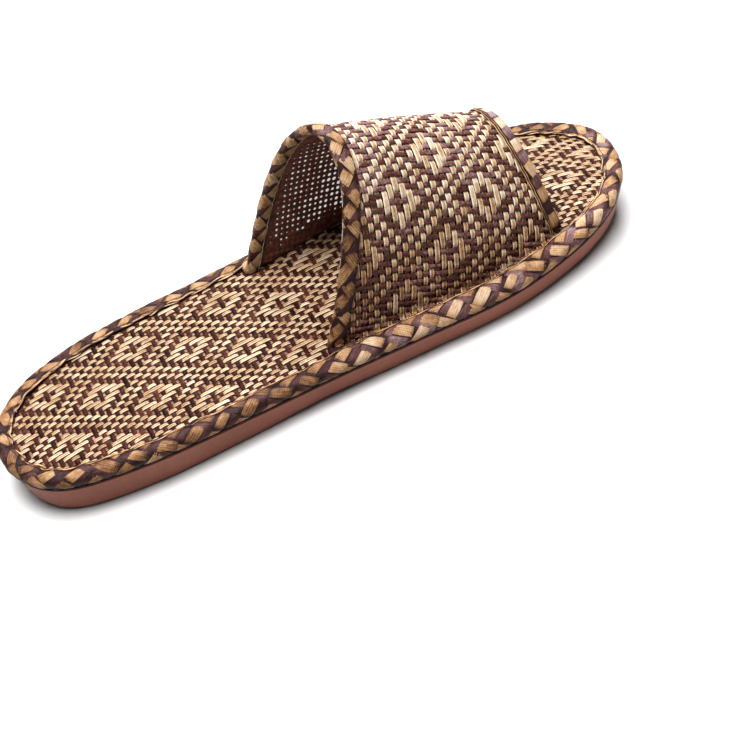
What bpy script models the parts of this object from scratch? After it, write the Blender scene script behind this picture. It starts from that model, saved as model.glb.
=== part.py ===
"""Rattan slipper: a left slide with a moulded sole, a woven footbed and one wide woven strap.

+X points to the toe, +Y to the outer side of the foot and +Z up, with the floor at Z = 0.
Every length below is in millimetres, and add_piece turns it into metres. A "station" is a
share of the length, 0 at the heel and 1 at the toe. A "turn" goes round a closed outline
or over the strap, in radians.
"""
import bmesh
import bpy
import numpy as np

MM = 0.001

# The last: length over the rim tape, end radii and half-widths of the outline
LENGTH = 272.0
HEEL_RADIUS = {"inner": 38.0, "outer": 31.0}
TOE_RADIUS = {"inner": 40.0, "outer": 28.0}
OUTLINE_COLUMN = {"inner": 1, "outer": 2}
OUTLINE = np.array([
    # station, inner half-width, outer half-width
    (0.11, 34.0, 34.6),
    (0.22, 38.2, 39.9),
    (0.44, 40.2, 41.6),
    (0.60, 43.0, 44.8),
    (0.74, 45.0, 47.2),
    (0.86, 40.2, 41.6),
    (0.94, 31.0, 30.0),
])
RIM_POINTS = 92

# Sole
THICKNESS = np.array([
    # station, thickness from the underside to the deck
    (0.00, 15.6),
    (0.12, 14.9),
    (0.40, 12.3),
    (0.70, 11.1),
    (1.00, 11.0),
])
TOE_SPRING_START = 186.0
TOE_SPRING = 6.0
HEEL_BEVEL_END = 16.0
HEEL_BEVEL = 0.5
ARCH_START = 88.0
ARCH_END = 152.0
ARCH_RISE = 1.2
SOLE_TOP_EDGE = [
    # inset from the outline, height above the deck
    (1.55, 0.0),
    (0.75, -0.8),
]
SOLE_BOTTOM_EDGE = [
    # inset from the outline, height above the underside
    (3.05, 2.4),
    (3.40, 1.2),
    (4.60, 0.3),
    (5.80, 0.0),
]

# Footbed: inset from the outline, height above the deck, from under the middle to the top
INSOLE_EDGE = [
    (6.2, 0.3),
    (6.2, 1.5),
    (2.2, 1.5),
    (1.6, 2.1),
    (1.5, 3.2),
    (2.1, 3.9),
    (3.2, 4.4),
    (4.8, 4.5),
]
INSOLE_TOP = 4.5

# Rim tape: a strip folded round the footbed's edge, inset and height above the deck
RIM_TAPE_OUTSIDE = [
    (5.6, 0.3),
    (2.0, 0.3),
    (0.7, 0.8),
    (0.1, 1.9),
    (0.0, 3.2),
    (0.5, 4.8),
    (1.8, 5.8),
    (3.6, 6.1),
    (5.8, 5.9),
    (7.6, 5.4),
]
RIM_TAPE_INSIDE = [
    (7.6, 4.8),
    (4.6, 4.95),
    (3.2, 4.75),
    (1.9, 4.3),
    (1.2, 3.3),
    (1.15, 2.0),
    (1.9, 1.2),
    (5.6, 1.2),
]

# Strap: an arch on the footbed, with its height at a reference place and its fall to the toe
STRAP_BASE = INSOLE_TOP + 0.3
STRAP_FOOT_INSET = {"inner": 10.6, "outer": 9.6}
STRAP_REFERENCE = 180.0
STRAP_REACH = 50.0
STRAP_HEIGHT = 62.5
STRAP_SLOPE = -22.3
STRAP_CURVE = -3.5
STRAP_FULLNESS = 1.3
STRAP_START_TURN = 0.25
WALL = 2.4
BACK_EDGE = {"inner": 125.8, "outer": 119.4, "lean": 35.0, "skew": 0.1}
FRONT_EDGE = {"inner": 232.0, "outer": 231.8, "bow": -3.2}
STRAP_TURNS = 45
STRAP_COLUMNS = 13

# Edge tape folded over the strap's edges
TAPE_GAP = 0.4
TAPE_THICKNESS = 1.0
TAPE_FLANGE = 7.0
TAPE_BEND = 1.2
TAPE_CORNER = 1.1
TAPE_TURNS = 45

# Colours, as red, green and blue from 0 to 1
FINISH = {
    # piece: (colour, roughness)
    "sole": ((0.205, 0.075, 0.050), 0.62),
    "insole": ((0.420, 0.270, 0.140), 0.55),
    "rim_binding": ((0.300, 0.170, 0.095), 0.50),
    "upper": ((0.400, 0.250, 0.130), 0.55),
    "back_binding": ((0.250, 0.140, 0.085), 0.50),
    "front_binding": ((0.250, 0.140, 0.085), 0.50),
}


def clear_scene():
    """Remove every object that is already there."""
    for item in list(bpy.data.objects):
        bpy.data.objects.remove(item, do_unlink=True)


def smooth(place, rows, values):
    """A smooth curve through the rows of a table: cubic pieces with averaged slopes."""
    slopes = np.gradient(values, rows)
    first = np.clip(np.searchsorted(rows, place) - 1, 0, len(rows) - 2)
    step = rows[first + 1] - rows[first]
    t = (place - rows[first]) / step
    start = (1 + 2 * t) * (1 - t) ** 2 * values[first] + t * (1 - t) ** 2 * step * slopes[first]
    end = t * t * (3 - 2 * t) * values[first + 1] - t * t * (1 - t) * step * slopes[first + 1]
    return start + end


def half_width(station, side):
    """Half-width of the outline: an ellipse's, times a fullness that follows the table."""
    rows = OUTLINE[:, 0]
    fullness = OUTLINE[:, OUTLINE_COLUMN[side]] / (2 * np.sqrt(rows * (1 - rows)))
    heel = np.sqrt(HEEL_RADIUS[side] * LENGTH / 2)
    toe = np.sqrt(TOE_RADIUS[side] * LENGTH / 2)
    stations = np.r_[0.0, rows, 1.0]
    station = np.clip(station, 0.0, 1.0)
    return smooth(station, stations, np.r_[heel, fullness, toe]) * 2 * np.sqrt(station * (1 - station))


def outline():
    """The plan of the slipper: heel, outer side, toe, inner side, as x and y."""
    turn = np.arange(RIM_POINTS) * 2 * np.pi / RIM_POINTS
    station = (1 - np.cos(turn)) / 2
    outer = half_width(station, "outer")
    inner = half_width(station, "inner")
    return LENGTH * station, np.where(turn <= np.pi, outer, -inner)


def inset(distance):
    """The outline moved in by a distance, square to itself."""
    x, y = outline()
    along_x = np.roll(x, -1) - np.roll(x, 1)
    along_y = np.roll(y, -1) - np.roll(y, 1)
    size = np.hypot(along_x, along_y)
    return x + along_y / size * distance, y - along_x / size * distance


def underside(x):
    """Height of the sole's underside: flat at heel and forefoot, arched between, sprung at the toe."""
    toe = np.clip((x - TOE_SPRING_START) / (LENGTH - TOE_SPRING_START), 0, 1) ** 2 * TOE_SPRING
    heel = np.clip((HEEL_BEVEL_END - x) / HEEL_BEVEL_END, 0, 1) ** 2 * HEEL_BEVEL
    arch = np.sin(np.pi * np.clip((x - ARCH_START) / (ARCH_END - ARCH_START), 0, 1)) ** 2 * ARCH_RISE
    return toe + heel + arch


def deck(x):
    """Height of the sole's top, which the arch underneath doesn't lift."""
    toe = np.clip((x - TOE_SPRING_START) / (LENGTH - TOE_SPRING_START), 0, 1) ** 2 * TOE_SPRING
    heel = np.clip((HEEL_BEVEL_END - x) / HEEL_BEVEL_END, 0, 1) ** 2 * HEEL_BEVEL
    return toe + heel + smooth(np.clip(x / LENGTH, 0, 1), THICKNESS[:, 0], THICKNESS[:, 1])


def ring(distance, height, ground):
    """One closed line at an inset, a height above the ground function."""
    x, y = inset(distance)
    return np.stack([x, y, ground(x) + height], axis=-1)


def ring_faces(rings, closed):
    """Four-sided faces between neighbouring rings, and from the last to the first if closed."""
    around = np.arange(RIM_POINTS)
    following = (around + 1) % RIM_POINTS
    last = rings if closed else rings - 1
    faces = []
    for low in range(last):
        high = (low + 1) % rings
        faces += np.stack([
            low * RIM_POINTS + around,
            low * RIM_POINTS + following,
            high * RIM_POINTS + following,
            high * RIM_POINTS + around,
        ], axis=-1).tolist()
    return faces


def cap_faces(start):
    """Close a ring with strips that run straight across from the outer to the inner side."""
    half = RIM_POINTS // 2
    faces = [(start, start + 1, start + RIM_POINTS - 1)]
    for step in range(1, half - 1):
        faces.append((start + step, start + step + 1,
                      start + RIM_POINTS - step - 1, start + RIM_POINTS - step))
    faces.append((start + half - 1, start + half, start + half + 1))
    return faces


def grid_faces(start, rows, columns, wrap=False):
    """Four-sided faces of a grid of points stored row by row."""
    row, column = np.meshgrid(np.arange(rows - 1), np.arange(columns if wrap else columns - 1),
                              indexing="ij")
    beside = (column + 1) % columns
    return (start + np.stack([
        row * columns + column,
        row * columns + beside,
        (row + 1) * columns + beside,
        (row + 1) * columns + column,
    ], axis=-1)).reshape(-1, 4).tolist()


def add_piece(name, points, faces):
    """Make one closed solid in metres, centred on the floor, with its faces out and its own material."""
    x, y = outline()
    centre = np.array([(x.min() + x.max()) / 2, (y.min() + y.max()) / 2, 0.0])
    mesh = bpy.data.meshes.new(name)
    mesh.from_pydata(((points.reshape(-1, 3) - centre) * MM).tolist(), [], faces)
    shell = bmesh.new()
    shell.from_mesh(mesh)
    bmesh.ops.recalc_face_normals(shell, faces=shell.faces)
    shell.to_mesh(mesh)
    shell.free()
    mesh.shade_smooth()
    mesh.set_sharp_from_angle(angle=np.radians(35))
    colour, roughness = FINISH[name]
    material = bpy.data.materials.new(name)
    material.use_nodes = True
    shader = material.node_tree.nodes["Principled BSDF"]
    shader.inputs["Base Color"].default_value = (*colour, 1.0)
    shader.inputs["Roughness"].default_value = roughness
    shader.inputs["Metallic"].default_value = 0.0
    mesh.materials.append(material)
    piece = bpy.data.objects.new(name, mesh)
    bpy.context.scene.collection.objects.link(piece)
    return piece


def add_sole():
    """The moulded sole: walls that taper in a little, a rounded foot and a flat deck."""
    rings = [ring(distance, height, deck) for distance, height in SOLE_TOP_EDGE]
    rings += [ring(distance, height, underside) for distance, height in SOLE_BOTTOM_EDGE]
    faces = ring_faces(len(rings), closed=False)
    faces += cap_faces(0) + cap_faces((len(rings) - 1) * RIM_POINTS)
    return add_piece("sole", np.array(rings), faces)


def add_insole():
    """The footbed: a pad with a woven top, stepped underneath where the rim tape is tucked in."""
    rings = [ring(distance, height, deck) for distance, height in reversed(INSOLE_EDGE)]
    faces = ring_faces(len(rings), closed=False)
    faces += cap_faces(0) + cap_faces((len(rings) - 1) * RIM_POINTS)
    return add_piece("insole", np.array(rings), faces)


def add_rim_binding():
    """The braided tape, one C-shaped section carried all the way round the rim."""
    profile = (RIM_TAPE_OUTSIDE + RIM_TAPE_INSIDE)[::-1]
    rings = [ring(distance, height, deck) for distance, height in profile]
    return add_piece("rim_binding", np.array(rings), ring_faces(len(rings), closed=True))


def edge_back(turn):
    """Place along the slipper of the strap's back edge, which leans to the toe as it rises."""
    foot = BACK_EDGE["inner"] + (BACK_EDGE["outer"] - BACK_EDGE["inner"]) * (1 - np.cos(turn)) / 2
    return foot + BACK_EDGE["lean"] * np.sin(turn) * (1 + BACK_EDGE["skew"] * np.cos(turn))


def edge_front(turn):
    """Place along the slipper of the strap's front edge, which bows a little to the heel."""
    foot = FRONT_EDGE["inner"] + (FRONT_EDGE["outer"] - FRONT_EDGE["inner"]) * (1 - np.cos(turn)) / 2
    return foot + FRONT_EDGE["bow"] * np.sin(turn)


def strap_point(x, turn, grow):
    """A point of the strap's arch at x.

    The turn goes from 0 at the inner foot to pi at the outer foot. Across the foot the arch
    follows a cosine, and its height is a sine to a power, which gives it round shoulders.
    grow moves the point out from the strap's outer face, and is below zero inside the wall.
    """
    angle = STRAP_START_TURN + (1 - 2 * STRAP_START_TURN / np.pi) * turn
    low = np.sin(STRAP_START_TURN) ** STRAP_FULLNESS
    lift = (np.sin(angle) ** STRAP_FULLNESS - low) / (1 - low)
    across = -np.cos(angle) / np.cos(STRAP_START_TURN)
    inner = STRAP_FOOT_INSET["inner"] - half_width(x / LENGTH, "inner")
    outer = half_width(x / LENGTH, "outer") - STRAP_FOOT_INSET["outer"]
    reach = (x - STRAP_REFERENCE) / STRAP_REACH
    height = STRAP_HEIGHT + STRAP_SLOPE * reach + STRAP_CURVE * reach ** 2
    y = (inner + outer) / 2 + ((outer - inner) / 2 + grow) * across
    z = deck(x) + STRAP_BASE + (height + grow) * lift
    return np.stack([x, y, z], axis=-1)


def add_upper():
    """The strap's wall: an outer and an inner face, joined along both edges and both feet."""
    turn = np.linspace(0, np.pi, STRAP_TURNS)[:, None]
    share = np.linspace(0, 1, STRAP_COLUMNS)[None, :]
    x = edge_back(turn) + (edge_front(turn) - edge_back(turn)) * share
    turn = turn + 0 * share
    # Each row goes forward on the outer face and comes back on the inner one
    outer = strap_point(x, turn, 0.0)
    inner = strap_point(x, turn, -WALL)[:, ::-1]
    points = np.concatenate([outer, inner], axis=1)
    columns = 2 * STRAP_COLUMNS
    faces = grid_faces(0, STRAP_TURNS, columns, wrap=True)
    last = (STRAP_TURNS - 1) * columns
    for column in range(STRAP_COLUMNS - 1):
        foot = (column, columns - 1 - column, columns - 2 - column, column + 1)
        faces.append(foot)
        faces.append(tuple(last + corner for corner in foot))
    return add_piece("upper", points, faces)


def tape_section():
    """The folded tape's section: places inward from the edge and growth, outside then inside."""
    near = TAPE_GAP
    far = TAPE_GAP + TAPE_THICKNESS
    middle = -WALL / 2
    outside = [
        (TAPE_FLANGE, far),
        (TAPE_BEND, far),
        (-TAPE_CORNER, TAPE_CORNER),
        (-far, middle),
        (-TAPE_CORNER, -WALL - TAPE_CORNER),
        (TAPE_BEND, -WALL - far),
        (TAPE_FLANGE, -WALL - far),
    ]
    inside = [
        (TAPE_FLANGE, near),
        (TAPE_BEND, near),
        (-near, near),
        (-near, middle),
        (-near, -WALL - near),
        (TAPE_BEND, -WALL - near),
        (TAPE_FLANGE, -WALL - near),
    ]
    return np.array(outside), np.array(inside)


def add_edge_tape(name, edge, inward):
    """Fold the tape over one edge of the strap, from foot to foot."""
    outside, inside = tape_section()
    loop = np.concatenate([outside, inside[::-1]])
    turn = np.linspace(0, np.pi, TAPE_TURNS)[:, None]
    x = edge(turn) + inward * loop[None, :, 0]
    points = strap_point(x, turn + 0 * x, loop[None, :, 1] + 0 * x)
    columns = len(loop)
    faces = grid_faces(0, TAPE_TURNS, columns, wrap=True)
    last = (TAPE_TURNS - 1) * columns
    for step in range(len(outside) - 1):
        foot = (step, columns - 1 - step, columns - 2 - step, step + 1)
        faces.append(foot)
        faces.append(tuple(last + corner for corner in foot))
    return add_piece(name, points, faces)


clear_scene()
add_sole()
add_insole()
add_rim_binding()
add_upper()
add_edge_tape("back_binding", edge_back, 1)
add_edge_tape("front_binding", edge_front, -1)
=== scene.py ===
"""Rattan slipper, finished: straw weave, braided tapes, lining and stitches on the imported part.

Sizes below are millimetres in the maker's frame: x from the heel to the toe, y to the outer
side and z up from the floor. to_frame turns them into the part's metres.
"""

import bpy
import numpy as np
from mathutils import Matrix, Vector


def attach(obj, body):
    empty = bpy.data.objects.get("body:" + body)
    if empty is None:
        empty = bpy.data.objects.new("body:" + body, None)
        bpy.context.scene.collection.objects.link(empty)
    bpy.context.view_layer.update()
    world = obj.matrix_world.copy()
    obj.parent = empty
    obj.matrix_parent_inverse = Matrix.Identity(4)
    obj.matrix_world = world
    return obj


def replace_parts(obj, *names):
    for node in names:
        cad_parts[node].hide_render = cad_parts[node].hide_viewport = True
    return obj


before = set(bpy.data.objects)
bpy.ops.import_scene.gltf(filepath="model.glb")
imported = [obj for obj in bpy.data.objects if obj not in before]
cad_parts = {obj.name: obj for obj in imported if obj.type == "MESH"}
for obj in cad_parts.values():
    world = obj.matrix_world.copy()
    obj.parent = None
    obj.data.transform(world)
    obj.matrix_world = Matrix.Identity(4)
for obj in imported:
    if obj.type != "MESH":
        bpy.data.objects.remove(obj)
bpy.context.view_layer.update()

MM = 0.001
CHANCE = np.random.default_rng(20)  # every random draw comes from here, in order

# The last
LENGTH = 272.0
HEEL_RADIUS = {"inner": 38.0, "outer": 31.0}
TOE_RADIUS = {"inner": 40.0, "outer": 28.0}
WIDTH_COLUMN = {"inner": 1, "outer": 2}
OUTLINE = np.array([
    # station, inner half-width, outer half-width
    (0.11, 34.0, 34.6),
    (0.22, 38.2, 39.9),
    (0.44, 40.2, 41.6),
    (0.60, 43.0, 44.8),
    (0.74, 45.0, 47.2),
    (0.86, 40.2, 41.6),
    (0.94, 31.0, 30.0),
])
THICKNESS = np.array([(0.00, 15.6), (0.12, 14.9), (0.40, 12.3), (0.70, 11.1), (1.00, 11.0)])
TOE_SPRING_START, TOE_SPRING = 186.0, 6.0
HEEL_BEVEL_END, HEEL_BEVEL = 16.0, 0.5

# The strap's arch and its two edges
STRAP_BASE = 4.8
STRAP_REFERENCE, STRAP_REACH = 180.0, 50.0
STRAP_HEIGHT, STRAP_SLOPE, STRAP_CURVE = 62.5, 22.3, 3.5
STRAP_FOOT_INSET = {"inner": 10.6, "outer": 9.6}
STRAP_FULLNESS = 1.3
STRAP_START_TURN = 0.25
BACK_FOOT, BACK_STEP, BACK_LEAN, BACK_SKEW = 125.8, 3.2, 35.0, 0.1
FRONT_FOOT, FRONT_STEP, FRONT_BOW = 232.0, 0.1, 3.2

# One repeat of the weave: rows are straw strips, columns dark yarns, x where the strip is on top
CHART_ROWS = [
    ".x..xx...xx..x",
    "x.x..xx.xx..x.",
    ".x.x..xxx..x.x",
    "..x.x..x..x.x.",
    "x..x.x...x.x..",
    "xx..x.x.x.x..x",
    ".xx..x.x.x..xx",
    "..xx..x.x..xx.",
]
CHART = np.array([[1 if mark == "x" else -1 for mark in CHART_ROWS[row]]
                  for row in (0, 1, 2, 3, 4, 5, 6, 7, 6, 5, 4, 3, 2, 1)])
REPEAT = len(CHART)

# Straw strips and dark yarns
STRIP_SECTION = np.array([
    # sideways, outward: a flat strip with rolled edges, its crown third
    (1.0, -0.25), (0.86, 0.72), (0.0, 1.0), (-0.86, 0.72), (-1.0, -0.25), (-0.7, -0.85),
    (0.7, -0.85),
])
STRIP_CROWN = 2
YARN_TWIST = 1.75  # along a yarn for half a turn of its plies

# Braided tapes: way across one turn of the finish, and the pitch of its fine threads
STRAND_ROUND = 8.0
TAPE_THREAD = 0.58

# Edges of strips and strands that are sharper than this many degrees stay sharp
CREASE = 32


# ---------------------------------------------------------------- shapes of the last

def smooth(place, rows, values):
    """A smooth curve through the rows of a table: cubic pieces with averaged slopes."""
    slopes = np.gradient(values, rows)
    first = np.clip(np.searchsorted(rows, place) - 1, 0, len(rows) - 2)
    step = rows[first + 1] - rows[first]
    t = (place - rows[first]) / step
    start = (1 + 2 * t) * (1 - t) ** 2 * values[first] + t * (1 - t) ** 2 * step * slopes[first]
    end = t * t * (3 - 2 * t) * values[first + 1] - t * t * (1 - t) * step * slopes[first + 1]
    return start + end


def fullness(station, side):
    """How full one side of the outline is, against a plain ellipse."""
    rows = OUTLINE[:, 0]
    full = OUTLINE[:, WIDTH_COLUMN[side]] / (2 * np.sqrt(rows * (1 - rows)))
    heel = np.sqrt(HEEL_RADIUS[side] * LENGTH / 2)
    toe = np.sqrt(TOE_RADIUS[side] * LENGTH / 2)
    return smooth(np.clip(station, 0, 1), np.r_[0.0, rows, 1.0], np.r_[heel, full, toe])


def half_width(x, side):
    """Half-width of the outline at x: the fullness times an ellipse's."""
    station = np.clip(x / LENGTH, 0, 1)
    return fullness(station, side) * 2 * np.sqrt(station * (1 - station))


def outline(turn):
    """Plan of the slipper: turn 0 is the heel, a quarter the outer side, a half the toe."""
    station = (1 - np.cos(turn)) / 2
    side = np.where(np.sin(turn) >= 0, fullness(station, "outer"), fullness(station, "inner"))
    return LENGTH * station, side * np.sin(turn)


def inset(turn, distance):
    """The outline moved in by a distance, square to itself."""
    x, y = outline(turn)
    x1, y1 = outline(turn + 0.002)
    x0, y0 = outline(turn - 0.002)
    size = np.hypot(x1 - x0, y1 - y0)
    return x + (y1 - y0) / size * distance, y - (x1 - x0) / size * distance


def deck(x):
    """Height of the sole's top: its thickness, the spring of the toe and the heel's bevel."""
    toe = np.clip((x - TOE_SPRING_START) / (LENGTH - TOE_SPRING_START), 0, 1) ** 2 * TOE_SPRING
    heel = np.clip((HEEL_BEVEL_END - x) / HEEL_BEVEL_END, 0, 1) ** 2 * HEEL_BEVEL
    return toe + heel + smooth(np.clip(x / LENGTH, 0, 1), *THICKNESS.T)


def smoothstep(value):
    """Nought below 0, one above 1, and an even S between."""
    value = np.clip(value, 0, 1)
    return value * value * (3 - 2 * value)


def strap_arch(x, turn):
    """The strap's outer face: a cosine across, and a sine to a power for its height."""
    angle = STRAP_START_TURN + (1 - 2 * STRAP_START_TURN / np.pi) * turn
    low = np.sin(STRAP_START_TURN) ** STRAP_FULLNESS
    lift = (np.sin(angle) ** STRAP_FULLNESS - low) / (1 - low)
    across = -np.cos(angle) / np.cos(STRAP_START_TURN)
    inner = STRAP_FOOT_INSET["inner"] - half_width(x, "inner")
    outer = half_width(x, "outer") - STRAP_FOOT_INSET["outer"]
    reach = (x - STRAP_REFERENCE) / STRAP_REACH
    height = STRAP_HEIGHT - STRAP_SLOPE * reach - STRAP_CURVE * reach ** 2
    y = (inner + outer) / 2 + (outer - inner) / 2 * across
    return np.stack([x, y, deck(x) + STRAP_BASE + height * lift], axis=-1)


def edge_back(turn):
    """Where the strap's back edge is along the slipper: it leans to the toe as it rises."""
    foot = BACK_FOOT - BACK_STEP * (1 - np.cos(turn))
    return foot + BACK_LEAN * np.sin(turn) * (1 + BACK_SKEW * np.cos(turn))


def edge_front(turn):
    """Where the strap's front edge is along the slipper: it bows back a little as it rises."""
    return FRONT_FOOT - FRONT_STEP * (1 - np.cos(turn)) - FRONT_BOW * np.sin(turn)


def lengths(path):
    """Length along a path of points, from nought at its start."""
    return np.r_[0, np.cumsum(np.linalg.norm(np.diff(path, axis=0), axis=1))]


TURNS = np.linspace(0, 2 * np.pi, 4001)
RIM_PLACES = lengths(np.stack(outline(TURNS), -1))
RIM_LENGTH = RIM_PLACES[-1]
CAD_SIDES = 92
CAD_X, CAD_Y = outline(np.arange(CAD_SIDES) * 2 * np.pi / CAD_SIDES)
CENTRE = np.array([(CAD_X.min() + CAD_X.max()) / 2, (CAD_Y.min() + CAD_Y.max()) / 2, 0.0])


def to_frame(points):
    """Maker's millimetres to the part's metres."""
    return (np.asarray(points) - CENTRE) * MM


def unit(vectors):
    """Vectors at length one."""
    return vectors / np.maximum(np.linalg.norm(vectors, axis=-1, keepdims=True), 1e-9)


def within(x, y):
    """How far each point lies inside the outline."""
    ring_x, ring_y = outline(np.linspace(0, 2 * np.pi, 361)[:-1])
    return np.sqrt(((x[..., None] - ring_x) ** 2 + (y[..., None] - ring_y) ** 2).min(-1))


# The strap as a sheet: x against t, the length over the arch from its crest. Past its feet
# the sheet turns outwards, to lie under the rim tape.
SHEET_X = np.arange(108.0, 246.0, 1.0)
SHEET_T = np.arange(-100.0, 100.5, 0.5)
FOOT_LIFT, FOOT_LIFT_END = 1.0, 2.0
SOFT_REACH, SOFT_WIDTH = 5, 2.6


def strap_sheet():
    """Points and outward directions of the sheet on the grid of x and t, and its feet's t."""
    turns = np.linspace(0, np.pi, 721)
    points, feet = [], []
    for x in SHEET_X:
        arch = strap_arch(x + 0 * turns, turns)
        places = lengths(arch)
        crest = places[np.argmax(arch[:, 2])]
        t = SHEET_T + crest
        y = np.interp(t, places, arch[:, 1])
        z = np.interp(t, places, arch[:, 2])
        past = np.maximum(-t, 0) + np.maximum(t - places[-1], 0)
        y = y + np.where(t < 0, -past, past)
        z = z + np.minimum(past, FOOT_LIFT_END) / FOOT_LIFT_END * FOOT_LIFT
        points.append(np.stack([x + 0 * y, y, z], axis=-1))
        feet.append((-crest, places[-1] - crest))
    points = np.array(points)
    soft = np.exp(-(np.arange(-SOFT_REACH, SOFT_REACH + 1) / SOFT_WIDTH) ** 2)
    soft /= soft.sum()
    padded = np.pad(points, ((0, 0), (SOFT_REACH, SOFT_REACH), (0, 0)), mode="reflect",
                    reflect_type="odd")
    points = sum(weight * padded[:, k:k + points.shape[1]] for k, weight in enumerate(soft))
    out = unit(np.cross(np.gradient(points, axis=0), np.gradient(points, axis=1)))
    return points, out, np.array(feet)


SHEET, SHEET_OUT, SHEET_FEET = strap_sheet()


def feet_at(x):
    """How far from the crest the strap's inner and outer feet are at x, as t."""
    return [np.interp(x, SHEET_X, SHEET_FEET[:, side]) for side in (0, 1)]


def read_sheet(table, x, t):
    """A table's value at x and t, mixed from its four nearest entries."""
    column = np.clip((x - SHEET_X[0]) / (SHEET_X[1] - SHEET_X[0]), 0, len(SHEET_X) - 1.001)
    row = np.clip((t - SHEET_T[0]) / (SHEET_T[1] - SHEET_T[0]), 0, len(SHEET_T) - 1.001)
    i, j = column.astype(int), row.astype(int)
    p, q = (column - i)[..., None], (row - j)[..., None]
    return ((1 - p) * (1 - q) * table[i, j] + p * (1 - q) * table[i + 1, j]
            + (1 - p) * q * table[i, j + 1] + p * q * table[i + 1, j + 1])


def on_strap(x, t, out):
    """A point of the strap's sheet, moved out from its outer face."""
    return read_sheet(SHEET, x, t) + read_sheet(SHEET_OUT, x, t) * np.asarray(out)[..., None]


def strap_edge(edge):
    """An edge of the strap as x against t, straight on past the feet."""
    turns = np.linspace(0, np.pi, 361)
    x = edge(turns)
    t = []
    for place, turn in zip(x, turns):
        arch = strap_arch(place + 0 * turns, turns)
        places = lengths(arch)
        t.append(np.interp(turn, turns, places) - places[np.argmax(arch[:, 2])])
    return np.array(t), x


BACK_T, BACK_X = strap_edge(edge_back)
FRONT_T, FRONT_X = strap_edge(edge_front)
# The cloth stands in a little from the edges, at the back only down towards the inner foot
BACK_X = BACK_X + 2.0 * smoothstep((5 - BACK_T) / 35)
FRONT_X = FRONT_X - 1.2


# ---------------------------------------------------------------- mesh and material helpers

def add_mesh(name, points, groups, material, uv=None, tone=None, flat=False, crease=0):
    """Make one piece from points in millimetres and arrays of faces, riding on the slipper."""
    points = to_frame(points.reshape(-1, 3))
    loops = np.concatenate([np.asarray(group).ravel() for group in groups]).astype(np.int32)
    sizes = np.concatenate([np.full(len(group), group.shape[1]) for group in groups])
    starts = np.r_[0, np.cumsum(sizes)[:-1]]
    mesh = bpy.data.meshes.new(name)
    mesh.vertices.add(len(points))
    mesh.vertices.foreach_set("co", points.astype(np.float32).ravel())
    mesh.loops.add(len(loops))
    mesh.loops.foreach_set("vertex_index", loops)
    mesh.polygons.add(len(sizes))
    mesh.polygons.foreach_set("loop_start", starts.astype(np.int32))
    mesh.polygons.foreach_set("loop_total", sizes.astype(np.int32))
    if uv is not None:
        layer = mesh.uv_layers.new(name="Lay")
        layer.uv.foreach_set("vector", uv.reshape(-1, 2)[loops].astype(np.float32).ravel())
    if tone is not None:
        layer = mesh.attributes.new("tone", "FLOAT", "POINT")
        layer.data.foreach_set("value", tone.ravel().astype(np.float32))
    mesh.update(calc_edges=True)
    mesh.validate()
    if not flat:
        mesh.shade_smooth()
    if crease:
        mesh.set_sharp_from_angle(angle=np.radians(crease))
    mesh.materials.append(material)
    piece = bpy.data.objects.new(name, mesh)
    bpy.context.scene.collection.objects.link(piece)
    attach(piece, "root")
    return piece


def ring_quads(rows, columns):
    """Faces between rings of points, stored ring by ring, each ring closed on itself."""
    row, column = np.meshgrid(np.arange(rows - 1), np.arange(columns), indexing="ij")
    beside = (column + 1) % columns
    return np.stack([row * columns + column, row * columns + beside,
                     (row + 1) * columns + beside, (row + 1) * columns + column],
                    axis=-1).reshape(-1, 4)


def end_caps(rows, columns):
    """The two faces that close a tube of rings, the first one turned round."""
    ring = np.arange(columns)
    return np.array([ring[::-1], ring + (rows - 1) * columns])


class Bundle:
    """Many closed tubes with the same number of section points, gathered into one mesh."""

    def __init__(self):
        self.points, self.quads, self.caps, self.uv, self.tone, self.count = [], [], [], [], [], 0

    def carry(self, path, out, section, places, tone):
        """Carry a section along a path. Its pairs are sideways and outward, turning left."""
        along = unit(np.gradient(path, axis=0))
        out = unit(out - along * (out * along).sum(-1, keepdims=True))
        side = np.cross(out, along)
        section = np.broadcast_to(section, (len(path),) + section.shape[-2:])
        points = (path[:, None] + side[:, None] * section[..., :1]
                  + out[:, None] * section[..., 1:])
        self.add(points, places, tone)

    def add(self, points, places, tone):
        """Add rings of points as one closed tube."""
        rows, columns = points.shape[:2]
        self.points.append(points.reshape(-1, 3))
        self.quads.append(ring_quads(rows, columns) + self.count)
        self.caps.append(end_caps(rows, columns) + self.count)
        around = np.arange(columns) / columns
        self.uv.append(np.stack(np.broadcast_arrays(places[:, None], around), -1).reshape(-1, 2))
        self.tone.append(np.broadcast_to(np.reshape(tone, (-1, 1)), (rows, columns)).ravel())
        self.count += rows * columns

    def finish(self, name, material, slot, crease=0):
        """Make the gathered tubes one piece, with edges sharper than crease degrees kept."""
        return add_mesh(name, np.concatenate(self.points),
                        [np.concatenate(self.quads), np.concatenate(self.caps)], material,
                        uv=np.concatenate(self.uv), tone=np.concatenate(self.tone), crease=crease)


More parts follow.
